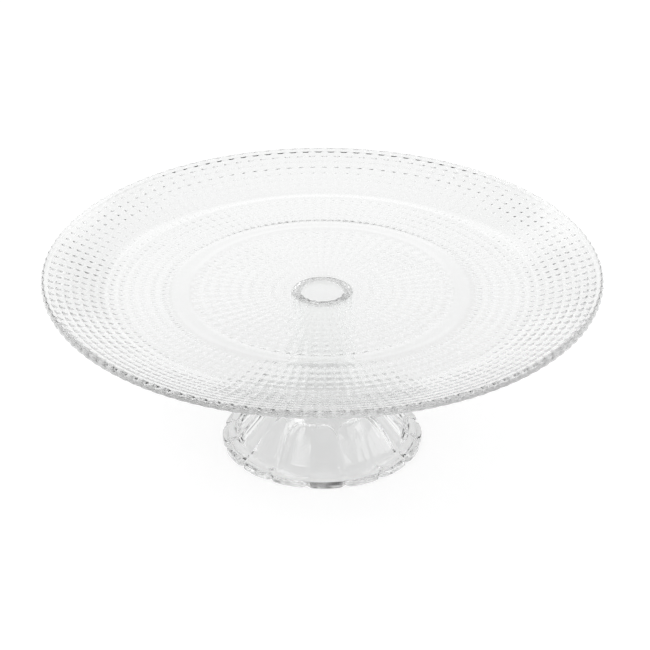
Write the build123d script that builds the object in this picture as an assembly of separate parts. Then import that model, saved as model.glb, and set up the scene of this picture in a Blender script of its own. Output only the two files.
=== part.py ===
from build123d import *
import os
from math import cos, radians, sin, sqrt, tan

# Footed cake stand of clear pressed glass, in millimetres.
# +Z is up, and the origin is on the table in the middle of the foot.
# The plate comes from one mould and the pedestal, stem and foot together, from another.
# A thin ring of clear adhesive holds the plate on top of the stem, so nothing moves.

# Whole stand
stand_height = 110.0
rim_radius = 160.0

# Plate: a flat floor that bends up into a sloping border with a round lip
plate_thickness = 4.6
well_depth = 11.0
border_slope = 16.0
border_bend_radius = 55.0

# Band on the plate's underside that is left plain between the two zones of studs
plain_band_radius = 81.5
plain_band_width = 12.0
plain_band_depth = 0.8

# Stem: a straight hollow column
stem_radius = 17.5
stem_wall = 4.8
stem_edge_round = 0.6

# Adhesive between the stem's top and the plate
bond_thickness = 0.2
bond_margin = 0.4

# Foot: an open bell with a stepped flange
foot_radius = 58.0
flange_edge_height = 3.2
flange_edge_round = 0.8
ledge_width = 3.4
ledge_rise = 1.2
step_height = 1.9
step_round = 0.6
step_top_width = 3.6
step_top_rise = 0.5
bell_slope = 50.0
bell_wall = 5.2
shoulder_radius = 40.0

# Arched panels around the bell: two hollowed flutes side by side, joined by a round crown at the top
arch_count = 8
first_arch_angle = 33.75
flute_offset_angle = 10.4
flute_depth = 1.5
crown_depth = 0.8
flute_curve_radius = 44.0
arch_top_radius = 33.0

# Notches in the flange and in its step, below each side and the middle of every panel
notch_radius = 1.7
notch_depth = 1.2

# Levels that follow from the sizes above
floor_top = stand_height - well_depth
floor_underside = floor_top - plate_thickness
stem_top = floor_underside - bond_thickness
ledge_radius = foot_radius - ledge_width
ledge_top = flange_edge_height + ledge_rise
step_top = ledge_top + step_height
bell_radius = ledge_radius - step_top_width
bell_bottom = step_top + step_top_rise
bore_radius = stem_radius - stem_wall
bell_lean = radians(bell_slope)


def turned(edges):
    """A solid turned about the upright axis from a closed outline in the XZ plane."""
    return revolve(make_face(edges), Axis.Z)


def around(tool, first_angle, count):
    """Copies of a tool, evenly spaced about the upright axis."""
    return [Rot(0, 0, first_angle + index * 360 / count) * tool for index in range(count)]


def plate_corner(height, side):
    """Where the floor's surface would meet the border's, above (1) or below (-1) mid-wall."""
    lean = radians(border_slope)
    half = plate_thickness / 2
    surface_height = stand_height - half + side * half * cos(lean)
    surface_radius = rim_radius - half - side * half * sin(lean)
    return surface_radius - (surface_height - height) / tan(lean)


def plate():
    """Dished plate of even thickness with a half-round lip."""
    lean = radians(border_slope)
    half = plate_thickness / 2
    lip_radius = rim_radius - half
    lip_height = stand_height - half
    lip_inner = (lip_radius - half * sin(lean), 0, lip_height + half * cos(lean))
    lip_outer = (lip_radius + half * sin(lean), 0, lip_height - half * cos(lean))
    lip_tip = (lip_radius + half * cos(lean), 0, lip_height + half * sin(lean))
    inner_corner = (plate_corner(floor_top, 1), 0, floor_top)
    outer_corner = (plate_corner(floor_underside, -1), 0, floor_underside)
    top = FilletPolyline((0, 0, floor_top), inner_corner, lip_inner, radius=border_bend_radius)
    lip = ThreePointArc(lip_inner, lip_tip, lip_outer)
    bottom = FilletPolyline(
        lip_outer, outer_corner, (0, 0, floor_underside), radius=border_bend_radius + plate_thickness
    )
    axis_line = Line((0, 0, floor_underside), (0, 0, floor_top))
    dish = turned([top, lip, bottom, axis_line])
    return dish - plain_band()


def plain_band():
    """Shallow groove that stands for the plain band between the stud zones."""
    inner = plain_band_radius - plain_band_width / 2
    outer = inner + plain_band_width
    ring = Cylinder(outer, plain_band_depth, align=(Align.CENTER, Align.CENTER, Align.MIN))
    core = Cylinder(inner, plain_band_depth, align=(Align.CENTER, Align.CENTER, Align.MIN))
    return Pos(0, 0, floor_underside) * (ring - core)


def bell_and_stem():
    """Solid bell that rises through a hollow shoulder curve into the straight stem."""
    meeting_height = bell_bottom + (bell_radius - stem_radius) * tan(bell_lean)
    side = FilletPolyline(
        (bell_radius, 0, bell_bottom),
        (stem_radius, 0, meeting_height),
        (stem_radius, 0, stem_top),
        (0, 0, stem_top),
        radius=(shoulder_radius, stem_edge_round),
    )
    base = Polyline((0, 0, stem_top), (0, 0, bell_bottom), (bell_radius, 0, bell_bottom))
    return turned([side, base])


def sunk_into_slope(depth):
    """Plane of a ball that sinks into the bell by a depth, its edge at the arch's top and z downhill."""
    arch_top_height = bell_bottom + (bell_radius - arch_top_radius) * tan(bell_lean)
    run_out = sqrt(depth * (2 * flute_curve_radius - depth))
    lift = flute_curve_radius - depth
    centre_radius = arch_top_radius + run_out * cos(bell_lean) + lift * sin(bell_lean)
    centre_height = arch_top_height - run_out * sin(bell_lean) + lift * cos(bell_lean)
    down_slope = (cos(bell_lean), 0, -sin(bell_lean))
    return Plane(origin=(centre_radius, 0, centre_height), z_dir=down_slope)


def flute_cutter():
    """Round-ended cutter laid along the bell's slope, towards +X."""
    length = (bell_radius - arch_top_radius) / cos(bell_lean)
    shaft = Cylinder(flute_curve_radius, length, align=(Align.CENTER, Align.CENTER, Align.MIN))
    return sunk_into_slope(flute_depth) * (shaft + Sphere(flute_curve_radius))


def crown_cutter():
    """Ball that joins the tops of a panel's two flutes, towards +X."""
    return sunk_into_slope(crown_depth) * Sphere(flute_curve_radius)


def flange():
    """Solid disc with the flange's upright edge, its ledge and the step above it."""
    outline = FilletPolyline(
        (0, 0, 0),
        (foot_radius, 0, 0),
        (foot_radius, 0, flange_edge_height),
        (ledge_radius, 0, ledge_top),
        (ledge_radius, 0, step_top),
        (bell_radius, 0, bell_bottom),
        radius=(flange_edge_round, flange_edge_round, step_round, step_round),
    )
    inside = Polyline((bell_radius, 0, bell_bottom), (0, 0, bell_bottom), (0, 0, 0))
    return turned([outline, inside])


def notch(edge_radius, bottom, top):
    """Upright round cutter that bites the notch depth into an edge on +X."""
    rod = Cylinder(notch_radius, top - bottom, align=(Align.CENTER, Align.CENTER, Align.MIN))
    return Pos(edge_radius + notch_radius - notch_depth, 0, bottom) * rod


def hollow():
    """Space that the plunger leaves: a bell below, and a straight bore up the stem."""
    wall_across = bell_wall / sin(bell_lean)
    mouth_radius = bell_radius - wall_across + bell_bottom / tan(bell_lean)
    meeting_height = (mouth_radius - bore_radius) * tan(bell_lean)
    side = FilletPolyline(
        (mouth_radius, 0, 0),
        (bore_radius, 0, meeting_height),
        (bore_radius, 0, stem_top),
        radius=shoulder_radius + bell_wall,
    )
    rest = Polyline((bore_radius, 0, stem_top), (0, 0, stem_top), (0, 0, 0), (mouth_radius, 0, 0))
    return turned([side, rest])


def pedestal():
    """Stem and foot in one pressing."""
    bell = bell_and_stem() - around(flute_cutter(), first_arch_angle - flute_offset_angle, arch_count)
    bell = bell - around(flute_cutter(), first_arch_angle + flute_offset_angle, arch_count)
    bell = bell - around(crown_cutter(), first_arch_angle, arch_count)
    base = flange() - around(notch(foot_radius, 0, ledge_top), first_arch_angle, 2 * arch_count)
    base = base - around(notch(ledge_radius, ledge_top, bell_bottom), first_arch_angle, 2 * arch_count)
    return bell + base - hollow()


def bond_ring():
    """Film of cured adhesive on the stem's flat top."""
    outer = stem_radius - stem_edge_round - bond_margin
    inner = bore_radius + bond_margin
    film = Cylinder(outer, bond_thickness, align=(Align.CENTER, Align.CENTER, Align.MIN))
    opening = Cylinder(inner, bond_thickness, align=(Align.CENTER, Align.CENTER, Align.MIN))
    return Pos(0, 0, stem_top) * (film - opening)


os.makedirs("parts", exist_ok=True)
nodes = {"plate": plate(), "pedestal": pedestal(), "bond_ring": bond_ring()}
for name, solid in nodes.items():
    export_step(solid, f"parts/{name}.step")
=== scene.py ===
from math import ceil, cos, pi, radians, sin, sqrt, tan

import bpy
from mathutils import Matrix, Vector


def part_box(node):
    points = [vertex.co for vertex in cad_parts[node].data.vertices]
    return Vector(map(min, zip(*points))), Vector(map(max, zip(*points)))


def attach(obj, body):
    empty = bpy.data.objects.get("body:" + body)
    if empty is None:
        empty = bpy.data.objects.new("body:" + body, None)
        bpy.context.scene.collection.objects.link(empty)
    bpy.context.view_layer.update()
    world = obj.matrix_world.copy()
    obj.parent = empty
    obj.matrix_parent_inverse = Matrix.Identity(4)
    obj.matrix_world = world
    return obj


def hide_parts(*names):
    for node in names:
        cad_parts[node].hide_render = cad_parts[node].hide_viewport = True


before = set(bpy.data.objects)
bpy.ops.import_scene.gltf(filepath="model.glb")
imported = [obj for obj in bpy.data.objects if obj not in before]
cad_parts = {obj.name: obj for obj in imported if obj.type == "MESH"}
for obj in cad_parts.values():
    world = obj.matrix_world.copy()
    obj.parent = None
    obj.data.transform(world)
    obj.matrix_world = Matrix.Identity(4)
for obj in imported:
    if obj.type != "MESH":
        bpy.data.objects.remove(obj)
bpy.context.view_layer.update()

# ---------------------------------------------------------------------------------------------
# The foot and stem. One hollow pressing of clear glass: a straight stem that flares into an open
# bell of arched flutes and ends in a stepped flange, notched below each ridge between two flutes.
# The hollow is smooth, and the outside edges are softly rounded.
# ---------------------------------------------------------------------------------------------
pedestal_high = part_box("pedestal")[1]
foot_radius = pedestal_high.x
stem_top = pedestal_high.z

stem_radius = 0.0175
stem_wall = 0.0048
stem_edge_round = 0.0006
shoulder_radius = 0.040
bell_slope = radians(50)
bell_wall = 0.0052

flange_edge_height = 0.0032
flange_edge_round = 0.0008
ledge_width = 0.0034
ledge_rise = 0.0012
step_height = 0.0019
step_round = 0.0004
step_top_width = 0.0036
step_top_rise = 0.0005

arches = 8
flutes = 2 * arches
flute_offset = radians(10.4)
flute_depth = 0.0015
crown_depth = 0.0008
flute_curve_radius = 0.044
arch_top_radius = 0.033
ridge_softness = 0.00012
panel_edge_depth = 0.00060
panel_edge_run = 0.00018
panel_foot_run = 0.0003
notch_depth = 0.0017
notch_width = 0.0016
lobe_depth = 0.0008
bore_lobe_depth = 0.0006
bore_lobe_reach = 0.012
flange_fade_start = 0.004
flange_fade_run = 0.003
above_step = 0.001
above_table = 0.0001

bond_inset_inside = 0.0004
bond_inset_outside = 0.0002
hollow_haze = 0.07
haze_margin = 0.0002
haze_fade = 0.0003

points_per_flute = 40
crowding = 0.55
bend_stride = 0.0014
plain_stride = 0.004
arch_stride = 0.0004
arch_margin = 0.0005
skin_depth = 0.001
same_spot = 1e-6
near_spot = 1e-5


class Amount:
    """A number at each point of a Geometry Nodes mesh, so that a shape's rule reads as arithmetic."""

    def __init__(self, tree, socket):
        self.tree = tree
        self.socket = socket

    def worked(self, operation, *others):
        node = self.tree.nodes.new("ShaderNodeMath")
        node.operation = operation
        for entry, value in zip(node.inputs, (self, *others)):
            if isinstance(value, Amount):
                self.tree.links.new(value.socket, entry)
            else:
                entry.default_value = value
        return Amount(self.tree, node.outputs[0])

    def __add__(self, other):
        return self.worked("ADD", other)

    def __sub__(self, other):
        return self.worked("SUBTRACT", other)

    def __mul__(self, other):
        return self.worked("MULTIPLY", other)

    def __truediv__(self, other):
        return self.worked("DIVIDE", other)

    def __pow__(self, other):
        return self.worked("POWER", other)

    def __rsub__(self, other):
        return self * -1 + other

    __radd__ = __add__
    __rmul__ = __mul__

    def sine(self):
        return self.worked("SINE")

    def cosine(self):
        return self.worked("COSINE")


def rounded_outline(corners, stride):
    """Points along straight runs joined by tangent arcs. A corner is (radius, height, bend radius)."""
    spots = [Vector((r, z)) for r, z, _ in corners]
    path = []
    for index, (_, _, bend) in enumerate(corners):
        here = spots[index]
        if index in (0, len(corners) - 1) or not bend:
            path.append(here)
            continue
        back = (spots[index - 1] - here).normalized()
        on = (spots[index + 1] - here).normalized()
        half_turn = (pi - back.angle(on)) / 2
        reach = bend * tan(half_turn)
        centre = here + (back + on).normalized() * bend / cos(half_turn)
        first = here + back * reach - centre
        side = 1 if back.x * on.y - back.y * on.x < 0 else -1
        count = max(4, ceil(2 * half_turn * bend / stride))
        for step in range(count + 1):
            turn = side * 2 * half_turn * step / count
            path.append(centre + Vector((first.x * cos(turn) - first.y * sin(turn),
                                         first.x * sin(turn) + first.y * cos(turn))))
    return path


def stepped(path, stride):
    """The same path with its straight runs divided. stride gives the longest stretch at a spot."""
    points = [path[0]]
    for last, here in zip(path, path[1:]):
        count = max(1, ceil((here - last).length / stride((last + here) / 2)))
        points += [last.lerp(here, step / count) for step in range(1, count + 1)]
    return points


def outline_mesh(name, points, readings):
    """A drawn half-section: one vertex per point, with its outward direction and its readings."""
    mesh = bpy.data.meshes.new(name)
    edges = [(index, index + 1) for index in range(len(points) - 1)]
    mesh.from_pydata([(p.x, 0, p.y) for p in points], edges, [])
    closed = (points[0] - points[-1]).length < 1e-9
    ways = []
    for index, here in enumerate(points):
        before = points[index - 1] if index else (points[-2] if closed else here)
        after = points[index + 1] if index + 1 < len(points) else (points[1] if closed else here)
        along = (after - before).normalized()
        ways.append((-along.y, 0, along.x))
    outward = mesh.attributes.new("outward", "FLOAT_VECTOR", "POINT")
    for entry, way in zip(outward.data, ways):
        entry.vector = way
    for key, reading in readings.items():
        values = mesh.attributes.new(key, "FLOAT", "POINT")
        for entry, here, way in zip(values.data, points, ways):
            entry.value = reading(here, way)
    return mesh


def turned_tree(name, sizes, readings, relief):
    """Nodes that turn an outline about the upright axis. relief gives, from the angle, the radius,
    the readings and the sizes, how far a point is pushed along its outward direction, and how far
    towards the axis."""
    tree = bpy.data.node_groups.new(name, "GeometryNodeTree")
    tree.interface.new_socket("Outline", in_out="INPUT", socket_type="NodeSocketGeometry")
    tree.interface.new_socket("Points around", in_out="INPUT", socket_type="NodeSocketInt")
    tree.interface.new_socket("Glass", in_out="INPUT", socket_type="NodeSocketMaterial")
    tree.interface.new_socket("Bonded face", in_out="INPUT", socket_type="NodeSocketMaterial")
    tree.interface.new_socket("Crowding", in_out="INPUT", socket_type="NodeSocketFloat")
    for key in sizes:
        tree.interface.new_socket(key, in_out="INPUT", socket_type="NodeSocketFloat")
    tree.interface.new_socket("Pressing", in_out="OUTPUT", socket_type="NodeSocketGeometry")
    given = tree.nodes.new("NodeGroupInput")
    link = tree.links.new

    def placed(kind, **settings):
        node = tree.nodes.new(kind)
        for key, value in settings.items():
            setattr(node, key, value)
        return node

    # One grid row for each outline point, with the last column lying on the first.
    counted = placed("GeometryNodeAttributeDomainSize")
    link(given.outputs["Outline"], counted.inputs[0])
    columns = Amount(tree, given.outputs["Points around"])
    grid = placed("GeometryNodeMeshGrid")
    link(counted.outputs["Point Count"], grid.inputs["Vertices X"])
    link((columns + 1).socket, grid.inputs["Vertices Y"])
    index = Amount(tree, placed("GeometryNodeInputIndex").outputs[0])
    row = (index / (columns + 1)).worked("FLOOR")
    even = (index - row * (columns + 1)) / columns * (2 * pi)
    # Crowding draws the columns of points together towards the edges between the flutes.
    angle = (even * flutes).sine() * Amount(tree, given.outputs["Crowding"]) / flutes + even

    def read(source, kind):
        sample = placed("GeometryNodeSampleIndex", data_type=kind, domain="POINT")
        link(given.outputs["Outline"], sample.inputs["Geometry"])
        link(source, sample.inputs["Value"])
        link(row.socket, sample.inputs["Index"])
        return sample.outputs["Value"]

    def named(key, kind):
        source = placed("GeometryNodeInputNamedAttribute", data_type=kind)
        source.inputs["Name"].default_value = key
        return source.outputs["Attribute"]

    spot = placed("ShaderNodeSeparateXYZ")
    link(read(placed("GeometryNodeInputPosition").outputs[0], "FLOAT_VECTOR"), spot.inputs[0])
    way = placed("ShaderNodeSeparateXYZ")
    link(read(named("outward", "FLOAT_VECTOR"), "FLOAT_VECTOR"), way.inputs[0])
    radius = Amount(tree, spot.outputs["X"])
    height = Amount(tree, spot.outputs["Z"])
    values = {key: Amount(tree, read(named(key, "FLOAT"), "FLOAT")) for key in readings}
    amounts = {key: Amount(tree, given.outputs[key]) for key in sizes}
    out, inward = relief(angle, radius, values, amounts)
    radius = radius + Amount(tree, way.outputs["X"]) * out - inward
    height = height + Amount(tree, way.outputs["Z"]) * out

    place = placed("ShaderNodeCombineXYZ")
    link((radius * angle.sine()).socket, place.inputs["X"])
    link((radius * angle.cosine() * -1).socket, place.inputs["Y"])
    link(height.socket, place.inputs["Z"])
    marked = placed("GeometryNodeStoreNamedAttribute", data_type="FLOAT", domain="POINT")
    marked.inputs["Name"].default_value = "bonded"
    link(grid.outputs["Mesh"], marked.inputs["Geometry"])
    link(read(named("bonded", "FLOAT"), "FLOAT"), marked.inputs["Value"])
    bent = placed("GeometryNodeSetPosition")
    link(marked.outputs["Geometry"], bent.inputs["Geometry"])
    link(place.outputs[0], bent.inputs["Position"])
    joined = placed("GeometryNodeMergeByDistance")
    joined.inputs["Distance"].default_value = 1e-6
    link(bent.outputs[0], joined.inputs["Geometry"])
    smooth = placed("GeometryNodeSetShadeSmooth")
    link(joined.outputs[0], smooth.inputs[0])
    real = placed("GeometryNodeRealizeInstances")
    link(smooth.outputs[0], real.inputs[0])
    finish = placed("GeometryNodeSetMaterial")
    link(real.outputs[0], finish.inputs["Geometry"])
    link(given.outputs["Glass"], finish.inputs["Material"])
    wet = placed("GeometryNodeSetMaterial")
    link(finish.outputs[0], wet.inputs["Geometry"])
    is_bonded = Amount(tree, named("bonded", "FLOAT")).worked("GREATER_THAN", 0.99)
    link(is_bonded.socket, wet.inputs["Selection"])
    link(given.outputs["Bonded face"], wet.inputs["Material"])
    link(wet.outputs[0], tree.nodes.new("NodeGroupOutput").inputs[0])
    return tree


def pressed_piece(name, points, readings, sizes, relief, around, crowding, glass, bonded):
    """Turns an outline into a closed glass piece and leaves it as a plain mesh."""
    outline = bpy.data.objects.new(name + "_outline", outline_mesh(name + "_outline", points, readings))
    bpy.context.scene.collection.objects.link(outline)
    tree = turned_tree(name + "_shape", sizes, readings, relief)
    turn = outline.modifiers.new("turned", "NODES")
    turn.node_group = tree
    wanted = {"Points around": around, "Crowding": crowding, "Glass": glass, "Bonded face": bonded, **sizes}
    for item in tree.interface.items_tree:
        if item.in_out == "INPUT" and item.name in wanted:
            turn[item.identifier] = wanted[item.name]
    bpy.context.view_layer.update()
    ready = outline.evaluated_get(bpy.context.evaluated_depsgraph_get())
    mesh = bpy.data.meshes.new_from_object(ready)
    outline.modifiers.remove(turn)
    bpy.data.objects.remove(outline)
    piece = bpy.data.objects.new(name, mesh)
    bpy.context.scene.collection.objects.link(piece)
    return piece


def pressed_glass(name, waviness, grain, hollow_radius, haziness):
    """Clear soda-lime glass with faint waves and a shine that varies a little. Within hollow_radius
    of the upright axis it is slightly hazy."""
    glass = bpy.data.materials.new(name)
    glass.use_nodes = True
    nodes = glass.node_tree.nodes
    link = glass.node_tree.links.new
    shader = nodes["Principled BSDF"]
    shader.inputs["Transmission Weight"].default_value = 1
    shader.inputs["IOR"].default_value = 1.52
    where = nodes.new("ShaderNodeTexCoord").outputs["Object"]

    def noise(scale, detail):
        node = nodes.new("ShaderNodeTexNoise")
        node.inputs["Scale"].default_value = scale
        node.inputs["Detail"].default_value = detail
        link(where, node.inputs["Vector"])
        return node.outputs["Fac"]

    tint = nodes.new("ShaderNodeValToRGB")
    tint.color_ramp.elements[0].color = (0.975, 0.98, 0.977, 1)
    tint.color_ramp.elements[1].color = (0.99, 0.994, 0.992, 1)
    link(noise(18, 2), tint.inputs[0])
    link(tint.outputs[0], shader.inputs["Base Color"])

    polish = nodes.new("ShaderNodeMapRange")
    polish.inputs["From Min"].default_value = 0.35
    polish.inputs["From Max"].default_value = 0.75
    polish.inputs["To Min"].default_value = 0.0
    polish.inputs["To Max"].default_value = 0.05
    link(noise(55, 4), polish.inputs["Value"])
    flat = nodes.new("ShaderNodeVectorMath")
    flat.operation = "MULTIPLY"
    flat.inputs[1].default_value = (1, 1, 0)
    link(where, flat.inputs[0])
    off_axis = nodes.new("ShaderNodeVectorMath")
    off_axis.operation = "LENGTH"
    link(flat.outputs[0], off_axis.inputs[0])
    haze = nodes.new("ShaderNodeMapRange")
    haze.inputs["From Min"].default_value = hollow_radius
    haze.inputs["From Max"].default_value = hollow_radius + haze_fade
    haze.inputs["To Min"].default_value = haziness
    haze.inputs["To Max"].default_value = 0
    link(off_axis.outputs["Value"], haze.inputs["Value"])
    dulled = nodes.new("ShaderNodeMath")
    link(polish.outputs[0], dulled.inputs[0])
    link(haze.outputs[0], dulled.inputs[1])
    link(dulled.outputs[0], shader.inputs["Roughness"])

    waves = nodes.new("ShaderNodeBump")
    waves.inputs["Distance"].default_value = waviness
    link(noise(45, 1), waves.inputs["Height"])
    skin = nodes.new("ShaderNodeBump")
    skin.inputs["Distance"].default_value = grain
    link(noise(900, 3), skin.inputs["Height"])
    link(waves.outputs[0], skin.inputs["Normal"])
    link(skin.outputs[0], shader.inputs["Normal"])
    return glass


def wetted_face(name):
    """A face that the adhesive wets: light passes it unbent, but for a scatter of tiny bubbles."""
    face = bpy.data.materials.new(name)
    face.use_nodes = True
    nodes = face.node_tree.nodes
    link = face.node_tree.links.new
    shader = nodes["Principled BSDF"]
    shader.inputs["Transmission Weight"].default_value = 1
    shader.inputs["IOR"].default_value = 1.49
    cells = nodes.new("ShaderNodeTexVoronoi")
    cells.inputs["Scale"].default_value = 700
    link(nodes.new("ShaderNodeTexCoord").outputs["Object"], cells.inputs["Vector"])
    tint = nodes.new("ShaderNodeValToRGB")
    tint.color_ramp.elements[0].color = (0.90, 0.91, 0.90, 1)
    tint.color_ramp.elements[1].color = (0.98, 0.985, 0.98, 1)
    link(cells.outputs["Distance"], tint.inputs[0])
    link(tint.outputs[0], shader.inputs["Base Color"])
    bubble = nodes.new("ShaderNodeMapRange")
    bubble.inputs["From Min"].default_value = 0.08
    bubble.inputs["From Max"].default_value = 0.14
    bubble.inputs["To Min"].default_value = 0.5
    bubble.inputs["To Max"].default_value = 0
    link(cells.outputs["Distance"], bubble.inputs["Value"])
    clear = nodes.new("ShaderNodeBsdfTransparent")
    mixed = nodes.new("ShaderNodeMixShader")
    link(bubble.outputs[0], mixed.inputs[0])
    link(clear.outputs[0], mixed.inputs[1])
    link(shader.outputs[0], mixed.inputs[2])
    link(mixed.outputs[0], nodes["Material Output"].inputs["Surface"])
    return face


bore_radius = stem_radius - stem_wall
ledge_radius = foot_radius - ledge_width
ledge_top = flange_edge_height + ledge_rise
step_top = ledge_top + step_height
bell_radius = ledge_radius - step_top_width
bell_bottom = step_top + step_top_rise


def bell_at(radius):
    """The height of the bell's outer slope at one radius."""
    return bell_bottom + (bell_radius - radius) * tan(bell_slope)


bell_peak = bell_at(stem_radius)
mouth_radius = bell_radius - bell_wall / sin(bell_slope) + bell_bottom / tan(bell_slope)
hollow_peak = (mouth_radius - bore_radius) * tan(bell_slope)
arch_run = sqrt(flute_depth * (2 * flute_curve_radius - flute_depth))
arch_foot_radius = arch_top_radius + arch_run * cos(bell_slope)
crown_run = sqrt(crown_depth * (2 * flute_curve_radius - crown_depth))
crown_radius = arch_top_radius + crown_run * cos(bell_slope)
bond_low, bond_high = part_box("bond_ring")
bonded_from = bore_radius + bond_inset_inside
bonded_to = bond_high.x - bond_inset_outside


def pedestal_stride(spot):
    """Short steps across the arches, and long ones on the plain stem and in the hollow."""
    in_arches = arch_top_radius - arch_margin < spot.x < arch_foot_radius + arch_margin
    on_outside = spot.y > bell_at(spot.x) - skin_depth
    return arch_stride if in_arches and on_outside else plain_stride


pedestal_outline = rounded_outline([
    (bore_radius, stem_top, 0),
    (bonded_from, stem_top, 0),
    (bonded_to, stem_top, 0),
    (stem_radius, stem_top, stem_edge_round),
    (stem_radius, bell_peak, shoulder_radius),
    (arch_top_radius - arch_margin, bell_at(arch_top_radius - arch_margin), 0),
    (arch_foot_radius + arch_margin, bell_at(arch_foot_radius + arch_margin), 0),
    (bell_radius - panel_foot_run, bell_at(bell_radius - panel_foot_run), 0),
    (bell_radius, bell_bottom, 0),
    (ledge_radius, step_top, step_round),
    (ledge_radius, ledge_top, step_round),
    (foot_radius, flange_edge_height, flange_edge_round),
    (foot_radius, 0, flange_edge_round),
    (mouth_radius, 0, 0),
    (bore_radius, hollow_peak, shoulder_radius + bell_wall),
    (bore_radius, stem_top, 0),
], bend_stride)
pedestal_outline = stepped(pedestal_outline, pedestal_stride)


def on_stem_top(here, outward):
    """1 on the flat ring that the adhesive wets."""
    on_top = here.y > stem_top - same_spot
    return float(on_top and bonded_from - same_spot < here.x < bonded_to + near_spot)


def on_bell(here, outward):
    """1 on the bell's outer face, where the flutes are, and 0 elsewhere."""
    outside = outward[0] > 0 and outward[2] > 0
    within = here.x < bell_radius + same_spot and bell_bottom + near_spot < here.y < bell_peak
    return float(outside and within)


def above_arch_foot(here, outward):
    """Distance up the slope from where a flute's arch starts."""
    return max(0, (arch_foot_radius - here.x) / cos(bell_slope))


def from_crown(here, outward):
    """Distance along the slope from the middle of the crown that joins two flutes."""
    return (crown_radius - here.x) / cos(bell_slope)


def on_flange(here, outward):
    """Rises to 1 over the step and the flange, and falls to 0 under the foot."""
    if here.y > step_top + above_step and here.x < bell_radius + same_spot:
        return 0.0
    inner = bell_radius if here.y > above_table else foot_radius - flange_fade_start
    share = (here.x - inner) / flange_fade_run
    return max(0.0, min(1.0, share)) if outward[0] > -0.5 else 0.0


def at_bore_mouth(here, outward):
    """1 at the top of the hollow, falling to 0 a little way down."""
    if here.x >= bore_radius + near_spot:
        return 0.0
    return max(0.0, 1 - (stem_top - here.y) / bore_lobe_reach)


def foot_relief(angle, radius, readings, size):
    """Arches of two flutes and a crown, the notches and gentle lobes of the flange below them, and
    shallow lobes at the hollow's mouth."""
    arch_pitch = 2 * pi / arches
    notch_pitch = 2 * pi / flutes
    from_middle = ((angle + notch_pitch / 2) / arch_pitch + 0.5).worked("FLOOR") * -arch_pitch + angle
    from_middle = from_middle + notch_pitch / 2

    def hollow(turned_by, along, depth):
        across = radius * turned_by.sine()
        fall = radius * (1 - turned_by.cosine()) * sin(bell_slope)
        return size[depth] - fall - (across * across + along * along) / (size["Flute curve radius"] * 2)

    flute = hollow(from_middle.worked("ABSOLUTE") - flute_offset, readings["up the arch"], "Flute depth")
    crown = hollow(from_middle, readings["from the crown"], "Crown depth")
    cut = flute.worked("MAXIMUM", crown).worked("SMOOTH_MAX", 0.0, size["Ridge softness"])
    edge = (cut / size["Panel edge run"]).worked("SMOOTH_MIN", 1.0, 0.4)
    cut = cut + edge * size["Panel edge depth"]
    from_flute = (angle / notch_pitch + 0.5).worked("FLOOR") * -notch_pitch + angle
    from_notch = (notch_pitch / 2 - from_flute.worked("ABSOLUTE")) * radius
    bite = (-1 * (from_notch / size["Notch width"]) ** 2).worked("EXPONENT") * size["Notch depth"]
    lobe = (from_flute.worked("ABSOLUTE") / (notch_pitch / 2)) ** 3 * size["Lobe depth"]
    bore_lobe = ((angle * flutes).cosine() * 0.5 + 0.5) * size["Bore lobe depth"]
    inward = (bite + lobe) * readings["notched"] + bore_lobe * readings["bore mouth"]
    return cut * readings["fluted"] * -1, inward


pedestal_glass = pressed_glass(
    "pedestal_glass",
    waviness=0.00006,
    grain=0.0000004,
    hollow_radius=bore_radius + haze_margin,
    haziness=hollow_haze,
)
pedestal = pressed_piece(
    "pedestal_pressing",
    pedestal_outline,
    {
        "bonded": on_stem_top,
        "fluted": on_bell,
        "up the arch": above_arch_foot,
        "from the crown": from_crown,
        "notched": on_flange,
        "bore mouth": at_bore_mouth,
    },
    {
        "Flute depth": flute_depth,
        "Crown depth": crown_depth,
        "Flute curve radius": flute_curve_radius,
        "Ridge softness": ridge_softness,
        "Panel edge depth": panel_edge_depth,
        "Panel edge run": panel_edge_run,
        "Notch depth": notch_depth,
        "Notch width": notch_width,
        "Lobe depth": lobe_depth,
        "Bore lobe depth": bore_lobe_depth,
    },
    foot_relief,
    flutes * points_per_flute,
    crowding,
    pedestal_glass,
    wetted_face("stem_top_face"),
)
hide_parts("pedestal")
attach(pedestal, "root")

# ---------------------------------------------------------------------------------------------
# The bond. A film of clear acrylic adhesive, cured under ultraviolet light between the stem's
# flat top and the plate. Its edges wander a little where it was squeezed out.
# ---------------------------------------------------------------------------------------------
bond_gap = 0.00003
bond_edge = 0.0003
bond_wander = 0.00025
bond_points_per_flute = 10
film_low = bond_low.z + bond_gap
film_high = bond_high.z - bond_gap
bond_outline = [
    Vector((bonded_from, film_low)),
    Vector((bonded_from, film_high)),
    Vector((bonded_from + bond_edge, film_high)),
    Vector((bonded_to - bond_edge, film_high)),
    Vector((bonded_to, film_high)),
    Vector((bonded_to, film_low)),
    Vector((bonded_to - bond_edge, film_low)),
    Vector((bonded_from + bond_edge, film_low)),
    Vector((bonded_from, film_low)),
]


def film_face(here, outward):
    """1 on the film's two faces, which wet the glass, and 0 at its edges."""
    return float(bonded_from + near_spot < here.x < bonded_to - near_spot)


def film_side(here, outward):
    """1 at the outer edge, -1 at the inner one and 0 between."""
    if film_face(here, outward):
        return 0.0
    return 1.0 if here.x > stem_radius - stem_wall / 2 else -1.0


def squeezed_edge(angle, radius, readings, size):
    """Five slow waves and eleven quicker ones in the film's edges, never past its outline."""
    wave = (angle * 5).sine() * 0.5 + (angle * 11 + 1.3).sine() * 0.3 + 0.8
    return radius * 0, wave * size["Wander"] * readings["edge"] * 0.6


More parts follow.
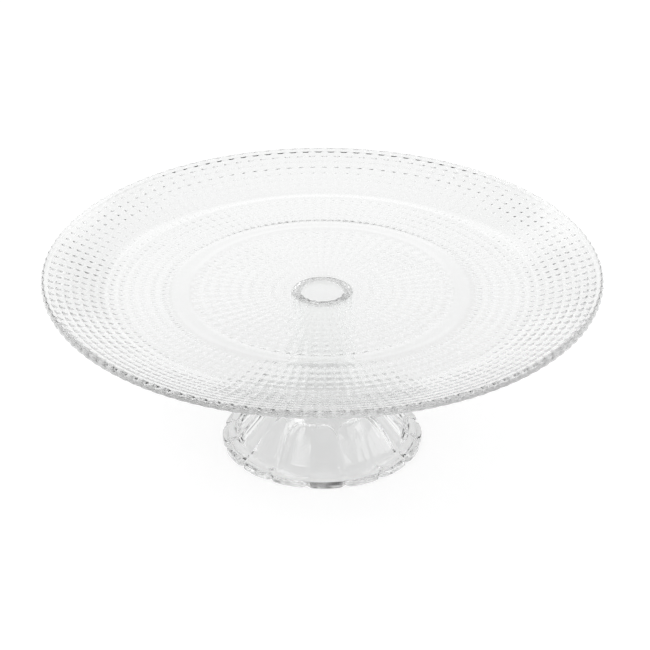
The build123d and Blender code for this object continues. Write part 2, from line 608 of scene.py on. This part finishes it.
def clear_adhesive(name):
    """Cured clear acrylic: a soft shine, with the faint cloudiness of tiny trapped bubbles."""
    film = bpy.data.materials.new(name)
    film.use_nodes = True
    nodes = film.node_tree.nodes
    link = film.node_tree.links.new
    shader = nodes["Principled BSDF"]
    shader.inputs["Transmission Weight"].default_value = 1
    shader.inputs["IOR"].default_value = 1.49
    bubbles = nodes.new("ShaderNodeTexVoronoi")
    bubbles.inputs["Scale"].default_value = 900
    link(nodes.new("ShaderNodeTexCoord").outputs["Object"], bubbles.inputs["Vector"])
    cloud = nodes.new("ShaderNodeValToRGB")
    cloud.color_ramp.elements[0].color = (0.9, 0.91, 0.9, 1)
    cloud.color_ramp.elements[1].color = (0.98, 0.985, 0.98, 1)
    cloud.color_ramp.elements[1].position = 0.35
    link(bubbles.outputs["Distance"], cloud.inputs[0])
    link(cloud.outputs[0], shader.inputs["Base Color"])
    shine = nodes.new("ShaderNodeMapRange")
    shine.inputs["To Min"].default_value = 0.12
    shine.inputs["To Max"].default_value = 0.02
    link(bubbles.outputs["Distance"], shine.inputs["Value"])
    link(shine.outputs[0], shader.inputs["Roughness"])
    return film


bond = pressed_piece(
    "bond_film",
    bond_outline,
    {"bonded": film_face, "edge": film_side},
    {"Wander": bond_wander},
    squeezed_edge,
    flutes * bond_points_per_flute,
    0.0,
    clear_adhesive("clear_adhesive"),
    wetted_face("film_face"),
)
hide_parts("bond_ring")
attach(bond, "root")

# ---------------------------------------------------------------------------------------------
# The plate. One wide pressing of clear glass, smooth on top, with rings of small cushion-shaped
# studs pressed into its underside: fine ones out to the beaded rim, and wider ones inside a
# plain band. A plain pad in the middle takes the stem.
# ---------------------------------------------------------------------------------------------
plate_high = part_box("plate")[1]
rim_radius = plate_high.x
rim_top = plate_high.z
pad_height = bond_high.z

plate_thickness = 0.0046
border_slope = radians(16)
border_bend_radius = 0.055
stud_depth = 0.0008
floor_stud_share = 0.36
band_share = 0.55
band_wall = 0.0010
fading_radius = 0.072
bead_depth = 0.0007
lip_fade = 0.004
row_squareness = 0.65
column_squareness = 0.8

outer_columns = 128
inner_columns = 64
outer_rows = 13
inner_rows = 9
first_row = 0.995
row_spacing = 0.026
row_growth = 0.00055
inner_first_row = 0.45
inner_row_spacing = 0.0392
outermost_row = 0.45
climb_start = 0.66
climb_run = 0.3
points_per_column = 5
points_per_row = 5
lip_steps = 10
top_stride = 0.022
top_bend_stride = 0.003
underside_bend_stride = 0.0005
pad_wall = 0.0006
pad_centre_radius = 0.006

floor_top = pad_height + plate_thickness
half_wall = plate_thickness / 2
lip_radius = rim_radius - half_wall
lip_height = rim_top - half_wall


def border_corner(height, side):
    """Where the floor's face would meet the border's, above (1) or below (-1) the middle of the wall."""
    face_height = lip_height + side * half_wall * cos(border_slope)
    face_radius = lip_radius - side * half_wall * sin(border_slope)
    return face_radius - (face_height - height) / tan(border_slope)


def lip_point(turn):
    """A point on the half-round lip, turned from its outermost point up (+) or down (-)."""
    return Vector((lip_radius + half_wall * cos(turn), lip_height + half_wall * sin(turn)))


top_face = rounded_outline([
    (0, floor_top, 0),
    (border_corner(floor_top, 1), floor_top, border_bend_radius),
    (*lip_point(border_slope + pi / 2), 0),
], top_bend_stride)
lip = [lip_point(border_slope + pi / 2 - pi * step / lip_steps) for step in range(1, lip_steps)]
underside = rounded_outline([
    (*lip_point(border_slope - pi / 2), 0),
    (border_corner(pad_height, -1), pad_height, border_bend_radius + plate_thickness),
    (0, pad_height, 0),
], underside_bend_stride)


def outer_row_radius(row):
    return rim_radius * (first_row - row_spacing * row - row_growth * row * row)


def inner_row_radius(row):
    return rim_radius * (inner_first_row - inner_row_spacing * row)


def at_radius(path, radius):
    """The point of an inward-running path at one radius."""
    for last, here in zip(path, path[1:]):
        if here.x <= radius <= last.x:
            return last.lerp(here, (last.x - radius) / (last.x - here.x))
    return path[-1]


outer_stops = [0.5 + step / points_per_row for step in range(outer_rows * points_per_row + 1)]
inner_stops = [step / points_per_row - 0.5 for step in range(inner_rows * points_per_row + 1)]
stops = [outer_row_radius(row) for row in outer_stops]
stops += [stops[-1] - band_wall, inner_row_radius(inner_stops[0]) + band_wall]
stops += [inner_row_radius(row) for row in inner_stops]
stops += [inner_row_radius(inner_stops[-1]) - pad_wall, bonded_to, bonded_from, pad_centre_radius, 0]
plate_outline = stepped(top_face, lambda spot: top_stride) + lip + [underside[0]]
plate_outline += [at_radius(underside, radius) for radius in stops]

last_outer = outer_row_radius(outer_stops[-1])
first_inner = inner_row_radius(inner_stops[0])
last_inner = inner_row_radius(inner_stops[-1])


def underneath(here, outward):
    return outward[2] < -0.5


def on_pad(here, outward):
    """1 on the ring of the middle pad that the adhesive wets."""
    within = bonded_from - same_spot < here.x < bonded_to + same_spot
    return float(underneath(here, outward) and within)


def studded(here, outward):
    """How deep the grooves between the studs are: deepest at the rim, none on the lip and the pad."""
    within = last_inner - near_spot < here.x < outer_row_radius(outermost_row)
    if not underneath(here, outward) or not within:
        return 0.0
    if first_inner + near_spot < here.x < last_outer - near_spot:
        return band_share
    if here.x < fading_radius:
        return floor_stud_share * here.x / fading_radius
    climb = max(0.0, min(1.0, (here.x / rim_radius - climb_start) / climb_run))
    return floor_stud_share + (1 - floor_stud_share) * climb


def in_outer_zone(here, outward):
    return float(underneath(here, outward) and here.x > last_outer - near_spot)


def in_inner_zone(here, outward):
    return float(underneath(here, outward) and here.x < first_inner + near_spot)


def outer_row(here, outward):
    """Which row of the outer zone a point lies in, counted inwards from the rim."""
    gone = first_row - here.x / rim_radius
    root = sqrt(row_spacing * row_spacing + 4 * row_growth * max(gone, 0))
    return (root - row_spacing) / (2 * row_growth)


def inner_row(here, outward):
    return (inner_first_row - here.x / rim_radius) / inner_row_spacing


def on_lip(here, outward):
    """1 at the rim's outermost point, falling to 0 a few millimetres in, above and below."""
    if here.x <= rim_radius - lip_fade:
        return 0.0
    return max(0.0, 1 - (rim_radius - here.x) / lip_fade)


def stud_relief(angle, radius, readings, size):
    """Cushions that stand to the plate's full thickness, and grooves between them."""
    def cushion(turns, squareness):
        # A hair over a half keeps the number that is raised to a power above 0.
        return ((turns * (2 * pi)).cosine() * 0.5 + 0.50001) ** size[squareness]

    round_outer = cushion(angle / (2 * pi) * size["Outer columns"], "Column squareness")
    round_inner = cushion(angle / (2 * pi) * size["Inner columns"], "Column squareness")
    outer = round_outer * cushion(readings["outer row"], "Row squareness") * readings["outer zone"]
    inner = round_inner * cushion(readings["inner row"], "Row squareness") * readings["inner zone"]
    sunk = (outer + inner - 1) * size["Stud depth"] * readings["studded"]
    bead = (1 - round_outer) * size["Bead depth"] * readings["lip"]
    return sunk, bead


plate_glass = pressed_glass(
    "plate_glass",
    waviness=0.00002,
    grain=0.0000003,
    hollow_radius=0,
    haziness=0,
)
plate = pressed_piece(
    "plate_pressing",
    plate_outline,
    {
        "bonded": on_pad,
        "studded": studded,
        "outer zone": in_outer_zone,
        "inner zone": in_inner_zone,
        "outer row": outer_row,
        "inner row": inner_row,
        "lip": on_lip,
    },
    {
        "Stud depth": stud_depth,
        "Bead depth": bead_depth,
        "Row squareness": row_squareness,
        "Column squareness": column_squareness,
        "Outer columns": outer_columns,
        "Inner columns": inner_columns,
    },
    stud_relief,
    outer_columns * points_per_column,
    0.0,
    plate_glass,
    wetted_face("pad_face"),
)
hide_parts("plate")
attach(plate, "root")

# ---------------------------------------------------------------------------------------------
# The studio: a pale floor with a painted shadow under the foot, a surround that is plain white to the
# camera and bands of light and dark to the glass, two soft lamps, and the camera.
# ---------------------------------------------------------------------------------------------
scene = bpy.context.scene
floor_half = 3.0
floor_drop = 0.0002
floor_mesh = bpy.data.meshes.new("studio_floor")
floor_corners = [(-floor_half, -floor_half), (floor_half, -floor_half), (floor_half, floor_half),
                 (-floor_half, floor_half)]
floor_mesh.from_pydata([(x, y, -floor_drop) for x, y in floor_corners], [], [(0, 1, 2, 3)])
floor = bpy.data.objects.new("studio_floor", floor_mesh)
scene.collection.objects.link(floor)


def seen_directly(nodes, link):
    """1 for rays that the camera, a mirror-like surface or clear glass sends, and 0 for the rest."""
    path = nodes.new("ShaderNodeLightPath")
    total = None
    for ray in ("Is Camera Ray", "Is Glossy Ray", "Is Transmission Ray"):
        if total is None:
            total = path.outputs[ray]
            continue
        either = nodes.new("ShaderNodeMath")
        either.operation = "MAXIMUM"
        link(total, either.inputs[0])
        link(path.outputs[ray], either.inputs[1])
        total = either.outputs[0]
    return path, total


floor_paint = bpy.data.materials.new("studio_floor")
floor_paint.use_nodes = True
nodes = floor_paint.node_tree.nodes
link = floor_paint.node_tree.links.new
matt = nodes["Principled BSDF"]
matt.inputs["Base Color"].default_value = (0.25, 0.25, 0.25, 1)
matt.inputs["Roughness"].default_value = 1
matt.inputs["Specular IOR Level"].default_value = 0
path, direct = seen_directly(nodes, link)
spread = nodes.new("ShaderNodeVectorMath")
spread.operation = "LENGTH"
link(nodes.new("ShaderNodeTexCoord").outputs["Object"], spread.inputs[0])
# Painted shadow: the floor's own glow is dimmer from 60 mm in to 40 mm from the axis, inside the foot, in
# place of the shade that the foot casts there.
painted_foot_shadow = nodes.new("ShaderNodeMapRange")
painted_foot_shadow.inputs["From Min"].default_value = 0.040
painted_foot_shadow.inputs["From Max"].default_value = 0.060
painted_foot_shadow.inputs["To Min"].default_value = 0.66
painted_foot_shadow.inputs["To Max"].default_value = 0.80
link(spread.outputs["Value"], painted_foot_shadow.inputs["Value"])
glow = nodes.new("ShaderNodeMix")
glow.inputs["A"].default_value = 0
link(painted_foot_shadow.outputs[0], glow.inputs["B"])
link(direct, glow.inputs["Factor"])
extra = nodes.new("ShaderNodeMath")
extra.operation = "MULTIPLY_ADD"
extra.inputs[1].default_value = 0.05
link(path.outputs["Is Camera Ray"], extra.inputs[0])
link(glow.outputs[0], extra.inputs[2])
matt.inputs["Emission Color"].default_value = (1, 1, 1, 1)
link(extra.outputs[0], matt.inputs["Emission Strength"])
floor_mesh.materials.append(floor_paint)

world = bpy.data.worlds.new("studio")
scene.world = world
world.use_nodes = True
nodes = world.node_tree.nodes
link = world.node_tree.links.new
surround = nodes["Background"]
path, direct = seen_directly(nodes, link)
way = nodes.new("ShaderNodeSeparateXYZ")
link(nodes.new("ShaderNodeTexCoord").outputs["Generated"], way.inputs[0])
aside = nodes.new("ShaderNodeMath")
aside.operation = "ABSOLUTE"
link(way.outputs["X"], aside.inputs[0])


def banded(source, *bands):
    """A grey level that changes from one band of directions to the next."""
    ramp = nodes.new("ShaderNodeValToRGB")
    link(source, ramp.inputs[0])
    for index, (place, level) in enumerate(bands):
        band = ramp.color_ramp.elements[index] if index < 2 else ramp.color_ramp.elements.new(place)
        band.position = place
        band.color = (level, level, level, 1)
    return ramp.outputs[0]


def combined(operation, first, second):
    node = nodes.new("ShaderNodeMath")
    node.operation = operation
    link(first, node.inputs[0])
    link(second, node.inputs[1])
    return node.outputs[0]


# A pale wall straight behind the stand, brightest near the floor and dark to either side, with
# pale walls far to the left and right, and a dark ceiling with a grey box in its middle.
across = banded(aside.outputs[0], (0.16, 1), (0.24, 0.06), (0.62, 0.06), (0.74, 1))
upward = banded(way.outputs["Z"], (0.28, 0.95), (0.38, 0.55), (0.52, 0.55), (0.57, 1),
                (0.62, 1), (0.67, 0.08), (0.90, 0.08), (0.95, 0.35))
wall = combined("MULTIPLY", across, upward)
camera_white = nodes.new("ShaderNodeMix")
camera_white.data_type = "RGBA"
camera_white.inputs["B"].default_value = (1, 1, 1, 1)
link(path.outputs["Is Camera Ray"], camera_white.inputs["Factor"])
link(wall, camera_white.inputs["A"])
light_share = nodes.new("ShaderNodeMix")
light_share.data_type = "RGBA"
light_share.inputs["A"].default_value = (0.75, 0.75, 0.75, 1)
link(direct, light_share.inputs["Factor"])
link(camera_white.outputs["Result"], light_share.inputs["B"])
link(light_share.outputs["Result"], surround.inputs["Color"])


def soft_lamp(name, place, aim, size, power):
    """A square softbox that faces its aim."""
    lamp = bpy.data.lights.new(name, "AREA")
    lamp.shape = "SQUARE"
    lamp.size = size
    lamp.energy = power
    holder = bpy.data.objects.new(name, lamp)
    holder.location = place
    holder.rotation_euler = (Vector(aim) - Vector(place)).to_track_quat("-Z", "Y").to_euler()
    scene.collection.objects.link(holder)


middle = (0, 0, rim_top / 2)
soft_lamp("key_softbox", place=(-1.1, -0.6, 1.5), aim=middle, size=0.8, power=9)
soft_lamp("fill_softbox", place=(1.3, -0.3, 1.1), aim=middle, size=0.8, power=4)

view_elevation = radians(28.2)
view_turn = radians(2.25)
view_distance = 13 * rim_radius
frame_width = 2.311 * rim_radius
aim_right = 0.0100 * rim_radius
aim_down = 0.1922 * rim_radius
camera_data = bpy.data.cameras.new("camera")
camera = bpy.data.objects.new("camera", camera_data)
scene.collection.objects.link(camera)
toward = Vector((-sin(view_turn) * cos(view_elevation), -cos(view_turn) * cos(view_elevation),
                 sin(view_elevation)))
camera.location = Vector((0, 0, rim_top)) + toward * view_distance
facing = (-toward).to_track_quat("-Z", "Y")
aim = Vector((0, 0, rim_top)) + facing @ Vector((aim_right, -aim_down, 0))
camera.rotation_euler = (aim - camera.location).to_track_quat("-Z", "Y").to_euler()
camera_data.lens = camera_data.sensor_width * view_distance / frame_width
camera_data.clip_start = 0.05
scene.camera = camera

scene.view_settings.view_transform = "Standard"
scene.cycles.max_bounces = 96
scene.cycles.transmission_bounces = 48
scene.cycles.glossy_bounces = 96
scene.cycles.transparent_max_bounces = 16
